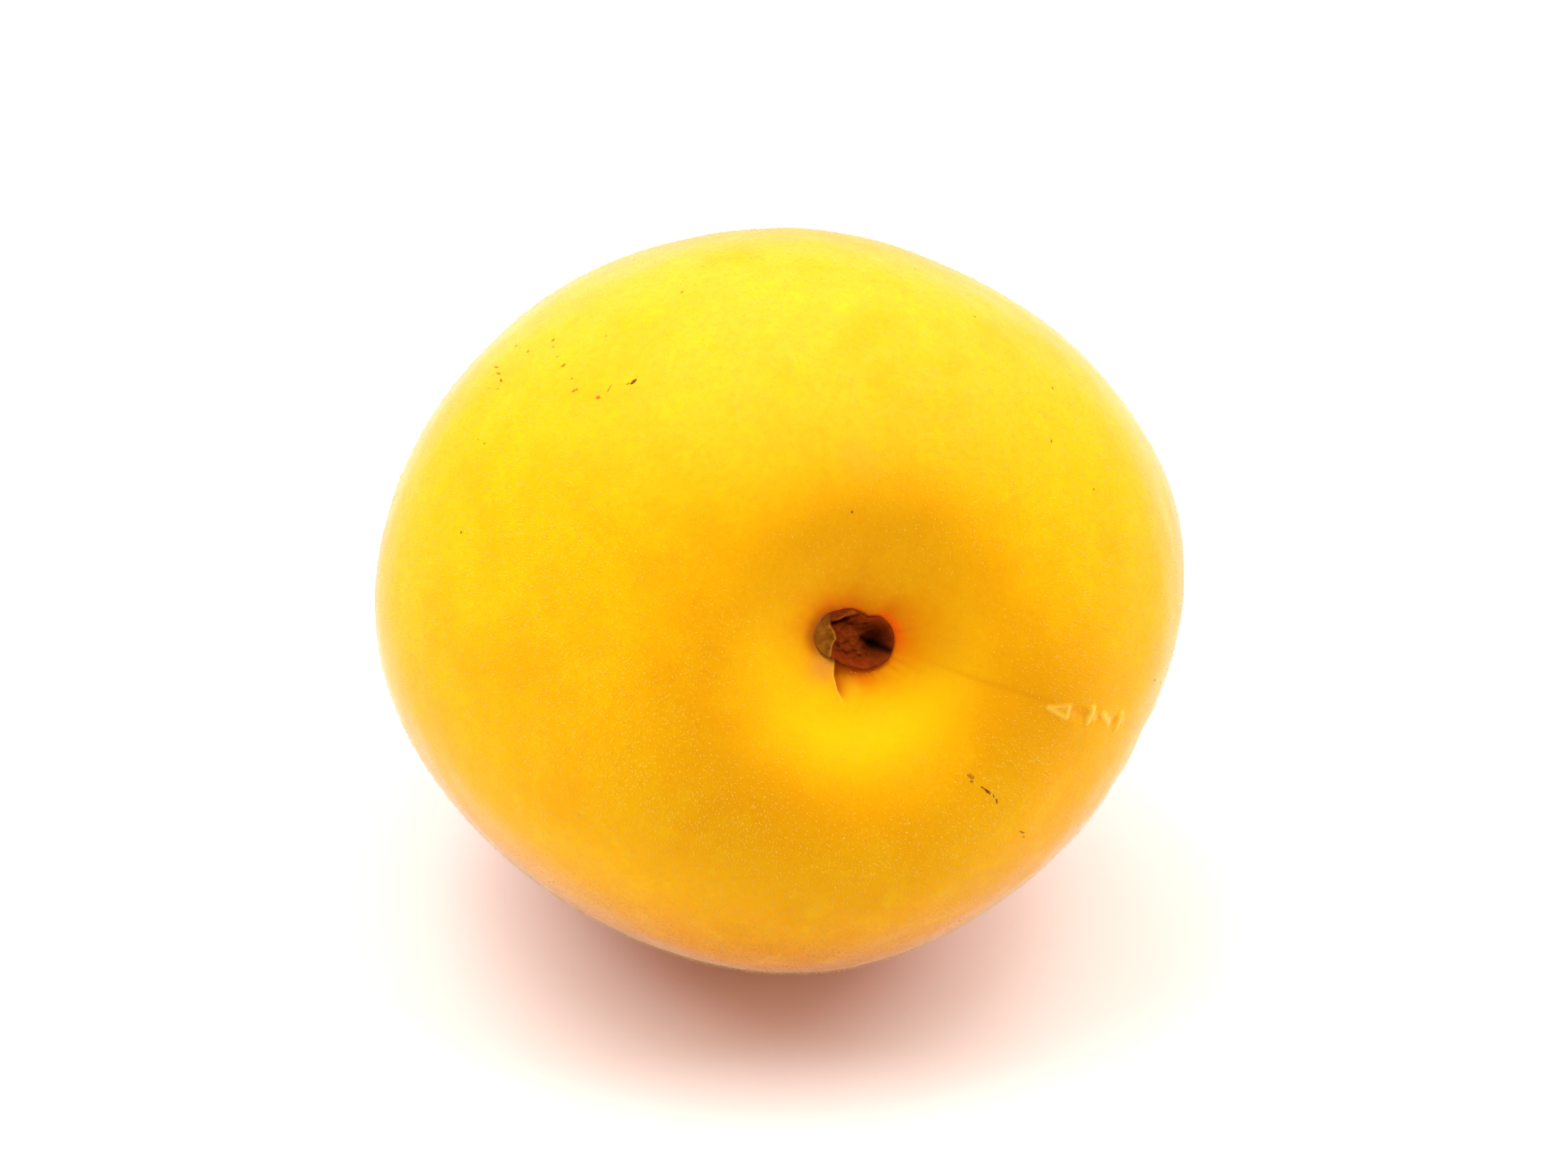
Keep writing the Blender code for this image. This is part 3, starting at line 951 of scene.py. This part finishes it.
# a faint warm glow round the foot stands in for the light that the other fruits throw into the
# shadow, and past the lamps' reach a white one keeps the paper pale up to the horizon
reach = f.new("ShaderNodeVectorMath", operation="LENGTH")
f.put(f.place(), reach.inputs[0])
warm = f.mix(f.range(reach.outputs["Value"], 0.026, 0.048), (0.120, 0.046, 0.012), (0.0, 0.0, 0.0))
far = f.range(reach.outputs["Value"], 0.22, 0.60)
f.put(f.mix(far, warm, (1.0, 1.0, 1.0)), f.shader.inputs["Emission Color"])
f.shader.inputs["Emission Strength"].default_value = 1.0
floor.data.materials.append(f.material)

studio = bpy.data.worlds.new("studio")
bpy.context.scene.world = studio
studio.use_nodes = True
tree = studio.node_tree
backdrop = tree.nodes["Background"]
backdrop.inputs[0].default_value = (1.0, 1.0, 1.0, 1.0)
WORLD = 0.03
path = tree.nodes.new("ShaderNodeLightPath")
level = tree.nodes.new("ShaderNodeMapRange")
level.inputs[3].default_value = WORLD
level.inputs[4].default_value = 1.0
tree.links.new(path.outputs["Is Camera Ray"], level.inputs[0])
tree.links.new(level.outputs[0], backdrop.inputs[1])


def area(name, at, size, power, colour=(1, 1, 1), aim=(0, 0, 0.02)):
    data = bpy.data.lights.new(name, "AREA")
    data.shape = "DISK"
    data.size = size
    data.energy = power
    data.color = colour
    light = bpy.data.objects.new(name, data)
    bpy.context.scene.collection.objects.link(light)
    light.location = at
    light.rotation_euler = (Vector(aim) - Vector(at)).to_track_quat("-Z", "Y").to_euler()
    return light


area("top", (0.00, 0.00, 0.55), 0.50, 1.40)
area("top_left", (-0.25, 0.00, 0.45), 0.40, 1.70)
area("top_right", (0.25, 0.00, 0.45), 0.40, 1.60)
area("left", (-0.40, -0.02, 0.28), 0.40, 0.75)
area("right", (0.40, -0.02, 0.28), 0.40, 0.65)
area("back_left", (-0.20, 0.25, 0.45), 0.40, 0.45)
area("warm_right", (0.10, 0.00, 0.02), 0.05, 0.010, (1.0, 0.42, 0.10), (0, 0, 0.008))

camera_data = bpy.data.cameras.new("camera")
camera = bpy.data.objects.new("camera", camera_data)
bpy.context.scene.collection.objects.link(camera)
bpy.context.scene.camera = camera
eye = Vector(CENTRE) + Vector((-0.014627, -0.124349, 0.079878))
pitch = math.radians(36.0)
forward = Vector((0, math.cos(pitch), -math.sin(pitch)))
aim = Vector(CENTRE) + Vector((0.0006, 0, 0.0002))
turn_to = forward.rotation_difference((aim - eye).normalized())
camera.rotation_mode = "QUATERNION"
camera.rotation_quaternion = turn_to @ forward.to_track_quat("-Z", "Y")
camera.location = eye
camera_data.sensor_width = 36.0
camera_data.lens = 53.0
camera_data.clip_start = 0.005
camera_data.clip_end = 50.0

bpy.context.scene.view_settings.view_transform = "Standard"
bpy.context.scene.view_settings.look = "None"
bpy.context.scene.view_settings.exposure = 0.0
bpy.context.scene.view_settings.gamma = 1.0
